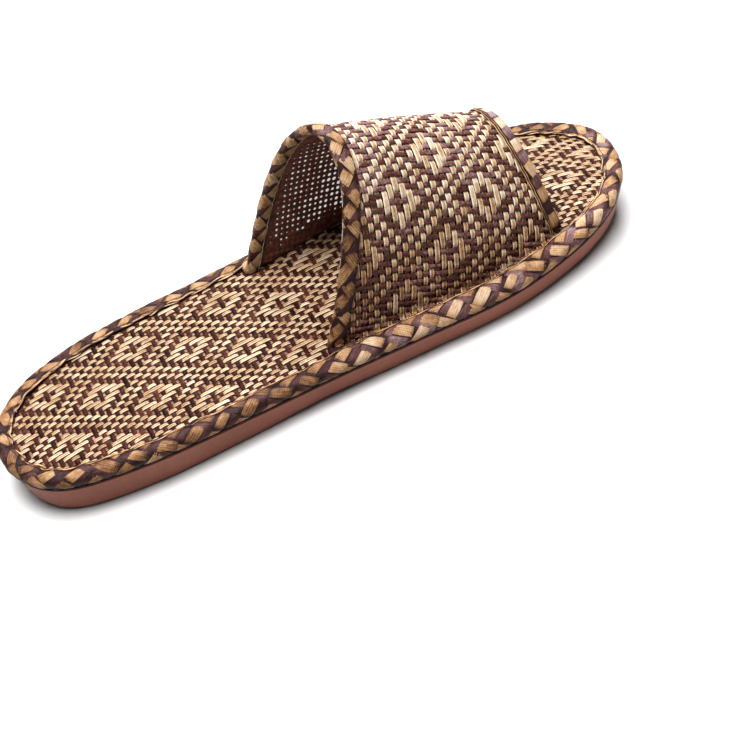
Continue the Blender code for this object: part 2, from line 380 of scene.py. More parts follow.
class Finish:
    """A material being made, with short ways to add and join nodes."""

    def __init__(self, name, **sockets):
        self.material = bpy.data.materials.new(name)
        self.material.use_nodes = True
        self.tree = self.material.node_tree
        self.shader = self.tree.nodes["Principled BSDF"]
        for socket, value in sockets.items():
            title = socket.replace("_", " ").title().replace("Ior", "IOR")
            self.shader.inputs[title].default_value = value

    def node(self, kind, inputs=None, **settings):
        made = self.tree.nodes.new("ShaderNode" + kind)
        for key, value in settings.items():
            setattr(made, key, value)
        for key, value in (inputs or {}).items():
            if isinstance(value, bpy.types.NodeSocket):
                self.tree.links.new(value, made.inputs[key])
            else:
                made.inputs[key].default_value = value
        return made

    def place(self, kind, scale=(1, 1, 1)):
        """Coordinates of a kind, scaled: the piece's own lay, or the object's."""
        if kind == "Lay":
            source = self.node("UVMap", uv_map="Lay").outputs[0]
        else:
            source = self.node("TexCoord").outputs["Object"]
        return self.node("Mapping", {"Vector": source, "Scale": scale}).outputs[0]

    def noise(self, vector, scale, detail=3.0, roughness=0.55):
        return self.node("TexNoise", {"Vector": vector, "Scale": scale, "Detail": detail,
                                      "Roughness": roughness}).outputs["Fac"]

    def ramp(self, factor, stops):
        made = self.node("ValToRGB", {"Fac": factor})
        steps = made.color_ramp.elements
        while len(steps) < len(stops):
            steps.new(0.5)
        for step, (place, colour) in zip(steps, stops):
            step.position = place
            step.color = (*colour, 1)
        return made.outputs["Color"]

    def math(self, operation, first, second=0.0):
        return self.node("Math", {0: first, 1: second}, operation=operation).outputs[0]

    def total(self, *terms):
        """The sum of some outputs, each times its own weight."""
        parts = [self.math("MULTIPLY", output, weight) for output, weight in terms]
        value = parts[0]
        for part in parts[1:]:
            value = self.math("ADD", value, part)
        return value

    def tone(self, middle):
        """The strand's tone, partly random and partly painted light and shade, against a middle one.
        """
        own = self.node("Attribute", attribute_name="tone").outputs["Fac"]
        return self.math("SUBTRACT", own, middle)

    def join(self, socket, output):
        self.tree.links.new(output, self.shader.inputs[socket])

    def relief(self, *layers):
        """Bumps on top of each other: each layer's height, strength and depth in metres."""
        under = {}
        for height, strength, depth in layers:
            bump = self.node("Bump", {"Height": height, "Strength": strength, "Distance": depth,
                                      **under}).outputs[0]
            under = {"Normal": bump}
        self.join("Normal", bump)


def straw_strip():
    """Split straw: tan, streaked along its fibres and lighter towards its rolled edges, a painted
    highlight, with fine ribs across.
    """
    f = Finish("straw_strip", roughness=0.42, specular_ior_level=0.16)
    fibres = f.noise(f.place("Lay", (0.22, 9.0, 1)), 1.0, 4.0, 0.6)
    blots = f.noise(f.place("Object"), 160.0, 3.0)
    specks = f.noise(f.place("Object"), 850.0, 2.0, 0.6)
    # Painted highlight: the strip is lighter towards its rolled edges than along its crown.
    around = f.node("SeparateXYZ", {0: f.place("Lay")}).outputs[1]
    points = len(STRIP_SECTION)
    side = f.math("ABSOLUTE", f.math("SUBTRACT", around, STRIP_CROWN / points))
    side = f.math("MINIMUM", f.math("MULTIPLY", side, float(points)), 1.0)
    shade = f.total((fibres, 0.35), (blots, 0.20), (specks, 0.35),
                    (f.math("POWER", side, 2.5), 0.26), (f.tone(0.55), 0.42))
    f.join("Base Color", f.ramp(shade, [(0.20, (0.070, 0.024, 0.008)),
                                        (0.36, (0.230, 0.113, 0.046)),
                                        (0.52, (0.400, 0.272, 0.150)),
                                        (0.76, (0.612, 0.556, 0.472))]))
    ribs = f.node("TexWave", {"Vector": f.place("Lay", (1, 0.3, 1)), "Scale": 0.62,
                              "Distortion": 1.2, "Detail": 2.0, "Detail Scale": 1.5},
                  bands_direction="X").outputs["Fac"]
    f.relief((ribs, 0.35, 0.00010), (fibres, 0.4, 0.00012))
    return f.material


def dark_yarn(name, gloss):
    """Dark reddish-brown yarn of two plies laid together, with a lilac sheen."""
    f = Finish(name, roughness=0.42, specular_ior_level=gloss,
               specular_tint=(1.0, 0.84, 0.92, 1.0))
    along, around, _ = f.node("SeparateXYZ", {0: f.place("Lay")}).outputs
    turns = f.math("SUBTRACT", f.math("MULTIPLY", along, 1 / YARN_TWIST),
                   f.math("MULTIPLY", around, 2.0))
    plies = f.math("ABSOLUTE", f.math("SINE", f.math("MULTIPLY", turns, np.pi)))
    fibres = f.noise(f.place("Lay", (0.6, 14.0, 1)), 1.0, 3.0)
    lumps = f.noise(f.place("Object"), 620.0, 4.0, 0.7)
    shade = f.total((plies, 0.08), (fibres, 0.32), (lumps, 0.92), (f.tone(0.94), 0.35))
    f.join("Base Color", f.ramp(shade, [(0.22, (0.006, 0.001, 0.001)),
                                        (0.45, (0.036, 0.009, 0.006)),
                                        (0.62, (0.076, 0.025, 0.018)),
                                        (0.84, (0.220, 0.125, 0.125))]))
    f.relief((plies, 0.18, 0.00020), (lumps, 0.8, 0.00040), (fibres, 0.45, 0.00012))
    return f.material


def woven_tape(name, stops, roughness, tint):
    """Flat strand of a braided tape: a fine even grid of threads."""
    f = Finish(name, roughness=roughness, specular_ior_level=0.16, specular_tint=tint)
    along, across, _ = f.node("SeparateXYZ", {0: f.place("Lay", (1, STRAND_ROUND, 1))}).outputs
    threads = [f.math("ABSOLUTE", f.math("SINE", f.math("MULTIPLY", way, np.pi / TAPE_THREAD)))
               for way in (along, across)]
    grid = f.math("MULTIPLY", f.math("POWER", threads[0], 0.6), f.math("POWER", threads[1], 0.6))
    blots = f.noise(f.place("Object"), 300.0, 5.0, 0.7)
    streaks = f.noise(f.place("Lay", (0.35, 16.0, 1)), 1.0, 3.0)
    shade = f.total((grid, 0.22), (blots, 0.60), (streaks, 0.34), (f.tone(0.90), 0.3))
    f.join("Base Color", f.ramp(shade, stops))
    f.relief((grid, 0.6, 0.00016), (blots, 0.3, 0.00020))
    return f.material


def sole_foam():
    """Moulded foam: reddish brown, softly clouded, with a fine pitted skin."""
    f = Finish("sole_foam", roughness=0.62, specular_ior_level=0.35)
    clouds = f.noise(f.place("Object"), 26.0, 4.0, 0.6)
    specks = f.noise(f.place("Object"), 900.0, 2.0)
    ribs = f.noise(f.place("Object", (1, 1, 0.04)), 1300.0, 2.0)
    f.join("Base Color", f.ramp(f.total((clouds, 0.7), (specks, 0.3)),
                                [(0.25, (0.165, 0.043, 0.022)), (0.50, (0.218, 0.064, 0.036)),
                                 (0.75, (0.275, 0.090, 0.055))]))
    f.relief((specks, 0.35, 0.00025), (ribs, 0.5, 0.00020))
    return f.material


def plain_finish(name, stops, roughness, scale, bump=0.3, **extra):
    """A small part's finish: one grain for its colour and its relief."""
    f = Finish(name, roughness=roughness, **extra)
    grain = f.noise(f.place("Object"), scale, 3.0, 0.6)
    f.join("Base Color", f.ramp(grain, stops))
    f.relief((grain, bump, 0.0002))
    return f.material


STRAW = straw_strip()
YARN = dark_yarn("dark_yarn", 0.14)
WORN_YARN = dark_yarn("worn_dark_yarn", 0.035)
# The tapes' palest stops, lilac on the dark strand, are partly the strands' own flecks and partly a
# painted sheen, reached where rim_light and front_light raise the tone.
TAPE_DARK = woven_tape("tape_dark", [(0.25, (0.005, 0.001, 0.001)), (0.45, (0.030, 0.007, 0.005)),
                                     (0.68, (0.085, 0.034, 0.031)), (0.90, (0.250, 0.170, 0.180)),
                                     (1.00, (0.400, 0.320, 0.345))],
                       0.38, (1.0, 0.86, 0.94, 1.0))
TAPE_STRAW = woven_tape("tape_straw", [(0.20, (0.040, 0.014, 0.006)), (0.36, (0.165, 0.072, 0.027)),
                                       (0.52, (0.315, 0.172, 0.077)), (0.72, (0.430, 0.328, 0.232)),
                                       (0.98, (0.660, 0.590, 0.520))],
                        0.46, (1.0, 1.0, 1.0, 1.0))
LINING = plain_finish("lining_mesh", [(0.3, (0.060, 0.017, 0.010)), (0.55, (0.150, 0.046, 0.028)),
                                      (0.8, (0.270, 0.098, 0.056))], 0.7, 500.0, bump=0.5)
# Painted shade: near black, so that the gaps of the weave over it read as deep shadow.
PAINTED_SHADE_BOARD = plain_finish("painted_shade_board", [(0.3, (0.010, 0.006, 0.005)), (0.7, (0.030, 0.016, 0.012))],
                     0.8, 500.0)
# Painted light: the pale cloth glows a little, as if light came through the lining's holes.
PAINTED_LIGHT_CLOTH = plain_finish("painted_light_cloth", [(0.3, (0.55, 0.54, 0.53)), (0.7, (0.80, 0.80, 0.80))],
                          0.6, 900.0, emission_color=(1, 1, 1, 1), emission_strength=0.55)
STRAW_SLIVER = plain_finish("straw_sliver", [(0.32, (0.060, 0.020, 0.008)),
                                             (0.48, (0.340, 0.165, 0.060)),
                                             (0.72, (0.640, 0.440, 0.230))], 0.5, 210.0)
THREAD_PALE = plain_finish("pale_thread", [(0.3, (0.42, 0.36, 0.30)), (0.7, (0.74, 0.69, 0.62))],
                           0.45, 1200.0)
THREAD_DARK = plain_finish("dark_thread", [(0.3, (0.006, 0.003, 0.003)),
                                           (0.7, (0.030, 0.012, 0.010))],
                           0.6, 1200.0, specular_ior_level=0.1)
FIBRE = plain_finish("loose_fibre", [(0.40, (0.03, 0.012, 0.008)), (0.52, (0.17, 0.09, 0.04)),
                                     (0.68, (0.48, 0.37, 0.25))],
                     0.6, 120.0, specular_ior_level=0.1)


# ---------------------------------------------------------------- the weave

STEP = 0.25  # way between two rings of a strand, in crossings
SHORTEST = 6  # a stretch of a strand has more rings than this
SPREAD = 6  # rings each way over which a strip's width is evened
SHADES, SHADE_CELLS = 140, 137  # random shades of a strip: its patches', and last its own


def over(crossing, line):
    """1 where the strip of a line is on top at a crossing, and -1 where the yarn is."""
    return CHART[line % REPEAT, (crossing + REPEAT // 2) % REPEAT]


def rise(place, states):
    """Height along a strand, from -1 to 1: level at each crossing, steep between them."""
    first = np.floor(place).astype(int)
    share = smoothstep((place - first - 0.25) / 0.50)
    return states(first) * (1 - share) + states(first + 1) * share


def drift(place, number, size):
    """A slow sideways wander that differs from strand to strand."""
    return size * (np.sin(place * 0.55 + number * 2.3) + 0.6 * np.sin(place * 1.37 + number * 5.1))


def strand_runs(mat, ends, course, states, lift):
    """Each stretch of one strand that lies inside a mat's piece.

    course gives the strand's points on the mat from its way along, in crossings, and states
    its height at each crossing. Yields the way along, the points' two coordinates, the height
    from -1 to 1, the path, its outward directions and its length in millimetres.
    """
    _, surface, inside = mat
    place = np.arange(ends[0], ends[1], STEP)
    across, along = course(place)
    height = rise(place, states)
    edges = np.flatnonzero(np.diff(np.r_[0, inside(across, along).astype(int), 0]))
    for first, last in zip(edges[::2], edges[1::2]):
        if last - first > SHORTEST:
            cut = slice(first, last)
            path, out = surface(across[cut], along[cut], lift * height[cut])
            yield place[cut], across[cut], along[cut], height[cut], path, out, lengths(path)


def lay_strips(name, mat, lines, crossings, half, thick, lift, light):
    """Carry every straw strip over and under the yarns, wherever it is inside the piece.

    A strip spreads where it lies on top of several yarns and narrows where it dives. Its
    half-width is a share of the room between its neighbours, and its tone is patched. The
    tone also carries painted light and shade by place from light, painted shade where the
    strip dives and a painted highlight at the ends of its floats.
    """
    bundle, lattice = Bundle(), mat[0]
    for line in lines:
        shades = CHANCE.uniform(0.0, 1.0, SHADES)
        for place, across, along, level, path, out, length in strand_runs(
                mat, crossings, lambda way: lattice(way, line + drift(way, line, 0.035)),
                lambda crossing: over(crossing, line), lift):
            beside = [np.stack(lattice(place, line + shift), -1) for shift in (-0.5, 0.5)]
            room = np.linalg.norm(beside[1] - beside[0], axis=-1)
            padded = np.pad(level, SPREAD, mode="edge")
            spread = np.convolve(padded, np.ones(2 * SPREAD + 1) / (2 * SPREAD + 1), "valid")
            grow = 0.92 + 0.06 * level + 0.10 * np.clip(spread, 0, 1)
            wide = half(across, along) * room * grow * (1 + 0.05 * np.sin(place * 0.9 + line))
            section = STRIP_SECTION[None] * np.stack([wide, thick + 0 * wide], -1)[:, None]
            cell = np.round(place / 3.0 + line * 0.37).astype(int) % SHADE_CELLS
            tone = light(across, along) - 0.25 + 0.5 * (0.55 * shades[cell] + 0.45 * shades[-1])
            # Painted shade where the strip dives under the yarns, and a painted highlight at the
            # ends of its floats.
            tone = tone + 0.30 * np.minimum(level, 0.2) + 0.22 * np.exp(-((level - 0.4) / 0.3) ** 2)
            bundle.carry(path, out, section, length + 37.0 * line, tone)
    return bundle.finish(name, STRAW, "woven_mat", CREASE)


def lay_yarns(name, mat, material, numbers, lines, half, thick, lift, light):
    """Carry every dark yarn, with its two plies winding round each other, and painted light and
    shade by place from light in its tone.
    """
    bundle, lattice = Bundle(), mat[0]
    around = np.arange(8) * np.pi / 4
    flat = np.sign(np.cos(around)) * np.abs(np.cos(around)) ** 0.7
    for number in numbers:
        for place, across, along, level, path, out, length in strand_runs(
                mat, lines, lambda way: lattice(number + drift(way, number, 0.03), way),
                lambda line: -over(number, line), lift):
            wind = np.pi * length / YARN_TWIST
            ply = 1 + 0.10 * np.cos(2 * (around[None] - wind[:, None]))
            ply = ply * (0.94 + 0.08 * level + 0.06 * np.sin(place * 2.1 + number))[:, None]
            section = np.stack([half(across)[:, None] * flat * ply,
                                thick * np.sin(around) * ply], -1)
            tone = light(along) + 0.25 * np.sin(number * number * 7.77 + place * 0.41)
            bundle.carry(path, out, section, length, tone)
    return bundle.finish(name, material, "woven_mat")


# Footbed: strips run along the slipper and yarns across it
FOOTBED_TOP = 4.15
FOOTBED_INSET = 4.3
FOOTBED_SINK = 0.35
FOOTBED_START = (44.17, 3.74)
FOOTBED_YARN_PITCH, FOOTBED_STRIP_PITCH = 2.69, 2.205
TOE_WEAVE, TOE_WEAVE_REACH = 225.0, 12.0


def footbed_lattice(crossing, line):
    """Where yarn number crossing meets strip number line: the mat's own slight bend and lean.

    The yarns lie closer and straighter across from the strap's front edge to the toe.
    """
    bend = crossing ** 2 - np.maximum(crossing - 40, 0) ** 2
    lean = 0.0415 + 0.0039 * crossing - 0.15 * smoothstep((crossing - 56) / 10)
    x = FOOTBED_START[0] + FOOTBED_YARN_PITCH * crossing + 0.0039 * bend + lean * line
    x = x - 1.65 * np.log1p(np.exp((crossing - 65) / 3))
    y = FOOTBED_START[1] + 0.259 * crossing - 0.0054 * crossing ** 2 + FOOTBED_STRIP_PITCH * line
    past = np.maximum(x - 236.0, 0)
    fan = 0.0102 * np.maximum(y, 0) * (past - 4 * (1 - np.exp(-past / 4)))
    return x, y - 0.012 * past ** 2 - fan


def footbed_surface(x, y, height):
    """Points of the footbed's top at x and y, settling a little under the rim tape."""
    sink = FOOTBED_SINK * (1 - smoothstep((within(x, y) - 5.0) / 3.0))
    z = deck(x) + FOOTBED_TOP - sink + height
    slope = deck(x + 0.5) - deck(x - 0.5)
    return np.stack([x, y, z], -1), np.stack([-slope, 0 * x, 1 + 0 * x], -1)


def footbed_inside(x, y):
    """Where the footbed is: inside the rim tape's fold."""
    inner = (x > 0) & (x < LENGTH)
    return inner & (y < half_width(x, "outer")) & (y > -half_width(x, "inner")) & (
        within(x, y) > FOOTBED_INSET)


def toe_weave(x):
    """How far a place is into the closer weave of the toe, from 0 to 1."""
    return smoothstep((x - TOE_WEAVE) / TOE_WEAVE_REACH)


FOOTBED = (footbed_lattice, footbed_surface, footbed_inside)
# Painted shade: the footbed's strips a little darker in the toe's closer weave.
lay_strips("footbed_strips", FOOTBED, range(-22, 26), (-17, 86),
           half=lambda x, y: 0.335 + 0.005 * toe_weave(x), thick=0.14, lift=0.21,
           light=lambda x, y: 0.36 - 0.02 * toe_weave(x))
lay_yarns("footbed_yarns", FOOTBED, WORN_YARN, range(-17, 86), (-24, 26),
          half=lambda x: 0.90 - 0.16 * toe_weave(x), thick=0.25, lift=0.17,
          light=lambda y: 0.14)

# Strap: strips run up and over the arch, and yarns along the slipper
STRAP_MIDDLE = -0.55
STRAP_FOOT_PAST = 3.4
STRAP_START = 192.1
STRAP_STRIP_PITCH = 2.33
STRAP_ROWS = np.array([
    # yarn number, its way down the arch from the crest: wider apart on the walls
    (-32, -110.6), (-21, -77.6), (-14, -55.9), (-7, -33.8), (0, -15.2), (6, 0.0),
    (12, 15.2), (19, 33.8), (26, 55.9), (33, 77.6), (44, 110.6),
])


def strap_lattice(crossing, line):
    """Where yarn number crossing meets strip number line, as x and t.

    Each strip bends back towards the heel as it goes down the walls, along a hyperbola.
    """
    t = smooth(crossing + 0.0 * line, *STRAP_ROWS.T)
    x = STRAP_START + STRAP_STRIP_PITCH * line - 0.31 * (np.sqrt(t * t + 1860) - 45.7)
    return x, t + 0.12 * line * np.tanh(t / 12)


def strap_surface(x, t, height):
    """Points in the middle of the strap's wall, and their outward directions."""
    return on_strap(x, t, STRAP_MIDDLE + height), read_sheet(SHEET_OUT, x, t)


def strap_inside(x, t, margin=2.2, past=STRAP_FOOT_PAST):
    """Where the strap is: between its edges, and down to its feet."""
    feet = feet_at(x)
    return ((x > np.interp(t, BACK_T, BACK_X) + margin)
            & (x < np.interp(t, FRONT_T, FRONT_X) - margin)
            & (t > feet[0] - past) & (t < feet[1] + past))


def down_wall(t, start, reach):
    """How far a place is down the strap's wall, from 0 at a start to 1 a reach past it."""
    return smoothstep((np.abs(t) - start) / reach)


STRAP = (strap_lattice, strap_surface, strap_inside)
# Painted shade: the strap's strips darker down its walls than at the crest.
lay_strips("strap_strips", STRAP, range(-32, 24), (-31, 43),
           half=lambda x, t: 0.45 - 0.07 * down_wall(t, 25, 40), thick=0.17, lift=0.33,
           light=lambda x, t: 0.56 - 0.49 * down_wall(t, 22, 55))
# Painted light: the strap's yarns paler at the crest, a painted sheen towards their lilac top stop,
# and darker down the walls.
lay_yarns("strap_yarns", STRAP, YARN, range(-31, 43), (-33, 24),
          half=lambda x: 0.88 + 0 * x, thick=0.36, lift=0.20,
          light=lambda t: 0.95 - 0.35 * down_wall(t, 16, 24))


# ---------------------------------------------------------------- the pad and the lining

def rings_piece(name, profile, material):
    """A closed solid of rings: each is the outline at an inset, at a height above the deck."""
    turns = np.linspace(0, 2 * np.pi, 241)[:-1]
    rings = []
    for distance, height in profile:
        x, y = inset(turns, distance)
        rings.append(np.stack([x, y, deck(x) + height], -1))
    count = len(turns)
    half = count // 2
    step = np.arange(1, half)
    strip = np.stack([step, step + 1, count - step - 1, count - step], -1)[:-1]
    ends = np.array([(0, 1, count - 1), (half - 1, half, half + 1)])
    last = (len(rings) - 1) * count
    return add_mesh(name, np.array(rings),
                    [ring_quads(len(rings), count), strip[:, ::-1], strip + last,
                     ends[:, ::-1], ends + last], material)


# The pad is the board under the weave; its near black is painted shade in the weave's gaps.
footbed_pad = rings_piece("footbed_pad", [(6.2, 0.3), (6.2, 1.5), (2.4, 1.5), (1.9, 2.1),
                                          (1.9, 2.9), (2.6, 3.2), (4.8, 3.25), (9.0, 3.4)],
                          PAINTED_SHADE_BOARD)
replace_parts(footbed_pad, "insole")


# Distances out from the strap's outer face, so below zero inside it
BACKING_OUTER, BACKING_INNER = -1.26, -1.40
LINING_OUTER, LINING_INNER = -1.50, -1.72


def strap_lining():
    """A thin knitted mesh inside the strap, with a hole at every gap of the weave."""
    crossing, line = np.meshgrid(np.arange(-31, 42), np.arange(-33, 24), indexing="ij")
    x, t = strap_lattice(crossing + 0.5, line + 0.5)
    keep = strap_inside(x, t, 2.4, 0.6)
    crossing, line, x, t = crossing[keep][:, None], line[keep][:, None], x[keep], t[keep]
    near = 7.0 + 3.5 * CHANCE.uniform(-1, 1, len(x))
    feet = feet_at(x)
    past = x - np.interp(t, BACK_T, BACK_X)
    open_part = smoothstep((np.minimum(t - feet[0], feet[1] - t) - near) / 5.0)
    open_part = open_part * smoothstep((past - 6.0) / 3.0)
    open_part = open_part * (0.8 + 0.5 * smoothstep((past - 12) / 22)) * down_wall(t, 17, 14)
    size = 0.05 + open_part * CHANCE.uniform(0.11, 0.25, len(x))
    corner = np.array([(0, 0), (0.5, 0), (1, 0), (1, 0.5), (1, 1), (0.5, 1), (0, 1), (0, 0.5)])
    angle = np.arctan2(corner[:, 1] - 0.5, corner[:, 0] - 0.5)
    hole = 0.5 + size[:, None, None] * np.stack([np.cos(angle), np.sin(angle)], -1)
    corner = np.broadcast_to(corner, hole.shape)
    layers = []
    for shape, out in ((corner, LINING_OUTER), (hole, LINING_OUTER),
                       (hole, LINING_INNER), (corner, LINING_INNER)):
        px, pt = strap_lattice(crossing + shape[..., 0], line + shape[..., 1])
        layers.append(on_strap(px, pt, out + 0 * px))
    points = np.stack(layers, 1)
    cells = len(points)
    around = np.arange(8)
    after = (around + 1) % 8
    faces = np.concatenate([np.stack([low * 8 + around, low * 8 + after,
                                      (low + 1) * 8 + after, (low + 1) * 8 + around], -1)
                            for low in range(3)])
    faces = (np.arange(cells)[:, None, None] * 32 + faces).reshape(-1, 4)
    tone = np.broadcast_to(np.linspace(0.4, 0.6, 32), (cells, 32))
    return add_mesh("strap_lining", points, [faces], LINING, tone=tone, flat=True)


def strap_backing():
    """A thin cloth between the weave and the lining: near black to the outside, painted shade in the
    weave's gaps, and pale and glowing to the inside, painted light through the lining's holes.
    """
    columns = 40
    share = np.linspace(0, 1, columns)[None]
    t = np.linspace(-1, 1, 120)[:, None]
    inner_foot, outer_foot = feet_at(150.0)
    t = t * (np.where(t < 0, -inner_foot, outer_foot) + 6.0)
    x = np.interp(t, BACK_T, BACK_X) + 3.0
    x = x + (np.interp(t, FRONT_T, FRONT_X) - 3.0 - x) * share
    t = t + 0 * x
    inner_foot, outer_foot = feet_at(x)
    t = np.clip(t, inner_foot + 2.2, outer_foot - 2.2)
    outer = on_strap(x, t, BACKING_OUTER + 0 * x)
    inner = on_strap(x, t, BACKING_INNER + 0 * x)[:, ::-1]
    points = np.concatenate([outer, inner], axis=1)
    rows, ring = points.shape[:2]
    piece = add_mesh("strap_backing", points,
                     [ring_quads(rows, ring), end_caps(rows, ring)], PAINTED_SHADE_BOARD)
    piece.data.materials.append(PAINTED_LIGHT_CLOTH)
    column = np.tile(np.arange(ring), rows - 1)
    pale = np.r_[(column >= columns) & (column < 2 * columns - 1), [False, False]]
    piece.data.polygons.foreach_set("material_index", pale.astype(np.int32))
    return piece


lining = strap_lining()
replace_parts(lining, "upper")
strap_backing()


# ---------------------------------------------------------------- the tapes

STRANDS = {"straw": TAPE_STRAW, "dark": TAPE_DARK}
TAPE_PITCH = 11.55
ROW_PITCH = 4.6
LEAN_START, LEAN_SHIFT, LEAN_REPEAT = 385, 26, 69
# Painted shade: the tapes' ground is darker than their strands, so the gaps between strands read as
# shadow.
GROUND_PAINTED_SHADE = -0.05
FEET_START, FEET_END = {"inner": 126.0, "outer": 119.0}, 235.0
RIM_PROFILE = np.array([
    # inset, height above the deck, from the seam over the edge to the footbed
    (2.6, 0.75), (1.7, 0.65), (0.8, 1.0), (0.15, 1.9), (0.0, 3.2), (0.5, 4.7), (1.8, 5.8),
    (3.6, 6.1), (5.8, 5.8), (7.6, 5.3), (8.6, 4.9),
])
RIM_V = lengths(RIM_PROFILE) - 0.7
RIM_EDGE = np.array([
    # place round the rim, how far across the tape its inner edge lies
    (-40, 11.6), (0, 12.0), (140, 12.3), (300, 12.3), (345, 12.3), (380, 13.0), (420, 13.0),
    (460, 12.6), (500, 11.8), (530, 11.0), (560, 11.0), (600, 11.6), (629, 12.0), (670, 12.0),
])
ROW_ACROSS = np.array([
    # place round the rim, how far across the tape the middle row of straw lies
    (-40, 9.2), (0, 9.6), (60, 10.0), (281, 10.3), (300, 9.5), (318, 7.5), (336, 5.2), (350, 5.3),
    (362, 6.0), (385, 6.8), (409, 7.5), (434, 7.6), (457, 8.4), (480, 9.8), (503, 10.4),
    (524, 10.8), (548, 10.5), (566, 11.6), (589, 12.3), (610, 13.7), (629, 13.9), (670, 14.2),
])


def on_profile(profile, ways, way):
    """A profile's two coordinates at a way along it, and its slope there: their two rates."""
    here, ahead, behind = ([smooth(way + shift, ways, profile[:, side]) for side in (0, 1)]
                           for shift in (0.0, 0.2, -0.2))
    rates = [ahead[side] - behind[side] for side in (0, 1)]
    size = np.hypot(*rates)
    return here[0], here[1], rates[0] / size, rates[1] / size


def foot_swell(x, y):
    """Where the strap's feet lie under the rim tape, and lift its inner edge: from 0 to 1."""
    starts = np.where(y < 0, FEET_START["inner"], FEET_START["outer"])
    return smoothstep((x - starts + 3) / 6) * smoothstep((FEET_END - x) / 6)


def rim_edge(place):
    """Where the tape's inner edge lies, with a little wander."""
    place = np.mod(place, RIM_LENGTH)
    return smooth(place, *RIM_EDGE.T) + 0.25 * np.sin(place * 0.53)


def on_rim(place, across, out):
    """A point on the rim tape: a place round the rim, a way across the tape, and out of it."""
    turn = np.interp(np.mod(place, RIM_LENGTH), RIM_PLACES, TURNS)
    distance, height, inward, upward = on_profile(RIM_PROFILE, RIM_V, across)
    wave = 0.12 * np.sin(place * 0.21) * smoothstep((across - 3) / 5)
    distance = distance - upward * (out + wave)
    height = height + inward * (out + wave)
    x, y = inset(turn, distance)
    height = height + 1.1 * foot_swell(x, y) * smoothstep((across - 6.5) / 4.0)
    return np.stack([x, y, deck(x) + height], -1)


def lay_braid(name, kind, surface, centres, size, reach, light, shift=0.0, angles=(0.60, 0.82)):
    """Strands where they show on a braid: skewed blocks, rounded, dipping at both ends and painted
    darker there as shade.

    centres holds the place, the way across and the lean of each, size its half-length and
    half-width, reach the least and most that the tape is across, light its painted light and
    shade by place, shift moves each block along the strands that cross it, and angles are
    those of the strand and of its ends.
    """
    bundle = Bundle()
    steps = np.linspace(-1, 1, 9)
    section = np.array([(1.0, -0.25), (0.96, 0.14), (0.66, 0.25), (0.0, 0.29), (-0.66, 0.25),
                        (-0.96, 0.14), (-1.0, -0.25), (0.0, -0.30)])
    for number, (place, across, lean) in enumerate(centres):
        grow, slip, twist, slope = CHANCE.normal(0, 1, 4) * (0.07, 0.35, 0.06, 0.5)
        first, second = angles[0] + twist, angles[1] - twist
        ahead = np.array([np.cos(first), lean * np.sin(first)])
        beside = np.array([np.cos(second), -lean * np.sin(second)]) * lean
        a = steps[:, None] * size[0] * (1 + grow)
        b = section[None, :, 0] * size[1] * (1 + grow) * (1 - 0.06 * steps[:, None] ** 2) + shift
        u = place + slip + a * ahead[0] + b * beside[0]
        v = across + a * ahead[1] + b * beside[1]
        top = reach[1](u) if callable(reach[1]) else reach[1]
        if (v > top - 0.6).all() or v.max() < reach[0] + 0.6:
            continue
        dip = 1 - 1.4 * np.abs(steps[:, None]) ** 7
        edge = smoothstep((top - v) / 0.8) * smoothstep((v - reach[0]) / 0.5)
        height = section[None, :, 1] * dip * (0.3 + 0.7 * edge)
        points = surface(u, np.clip(v, reach[0], top), height + CHANCE.uniform(-0.04, 0.08))
        tone = light(place) + CHANCE.uniform(-0.35, 0.30) + 0.35 * slope * steps
        # Painted shade: each block darker towards both ends, where it goes under the crossing
        # strands.
        bundle.add(points, a[:, 0] + 50.0 * number, tone - 0.5 * np.abs(steps) ** 4)
    return bundle.finish(f"{name}_{kind}", STRANDS[kind], "braided_tape", CREASE)


def rim_centres():
    """The braid's repeat round the rim: rows half a repeat apart, and its changing lean."""
    centres = []
    for row in (-2, -1, 0, 1, 2):
        place = 4.2 + TAPE_PITCH * (np.arange(0, 56) + 0.5 * (row % 2))
        place = place[place < RIM_LENGTH - 2.0 + 3.0 * (row % 2)]
        across = smooth(place, *ROW_ACROSS.T) + ROW_PITCH * row
        wave = np.cos(2 * np.pi * (place - LEAN_START - LEAN_SHIFT * row) / LEAN_REPEAT)
        lean = np.where(wave > 0, 1, -1)
        centres += list(zip(place, across, lean))
    return centres


def rim_tape():
    """The dark ground of the rim tape: one closed section carried all round."""
    place = np.linspace(0, RIM_LENGTH, 421)[:-1]
    share = np.linspace(0, 1, 20)[None]
    across = RIM_V[0] + 0.05 + (rim_edge(place)[:, None] - RIM_V[0] - 0.05) * share
    outside = on_rim(place[:, None], across, 0 * across)
    within_tape = across[:, ::-1][:, ::3]
    inside = on_rim(place[:, None], within_tape, 0 * within_tape - 0.85)
    points = np.concatenate([outside, inside], axis=1)
    columns = points.shape[1]
    faces = ring_quads(len(place) + 1, columns) % (len(place) * columns)
    way = np.c_[across, within_tape] / STRAND_ROUND
    uv = np.stack(np.broadcast_arrays(place[:, None], way), -1)
    return add_mesh("rim_tape", points, [faces[:, ::-1]], TAPE_DARK, uv=uv,
                    tone=np.full(points.shape[:2], GROUND_PAINTED_SHADE))


def rim_light(place):
    """Painted light on the strands round the rim: a painted sheen, paler round the toe and along the
    strap's inner foot.
    """
    return 0.28 + 0.44 * smoothstep((place - 290) / 30) * smoothstep((505 - place) / 40)


rim = rim_tape()
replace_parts(rim, "rim_binding")
RIM_REACH = (-0.3, lambda place: rim_edge(place) - 0.15)
lay_braid("rim_tape", "straw", on_rim, rim_centres(), (4.2, 2.0), RIM_REACH, rim_light)
# The dark strands take the painted sheen about twice as strongly, lilac at the palest.
lay_braid("rim_tape", "dark", on_rim, rim_centres(), (3.9, 1.45), RIM_REACH,
          lambda place: 2.1 * rim_light(place) - 0.27, shift=3.9)

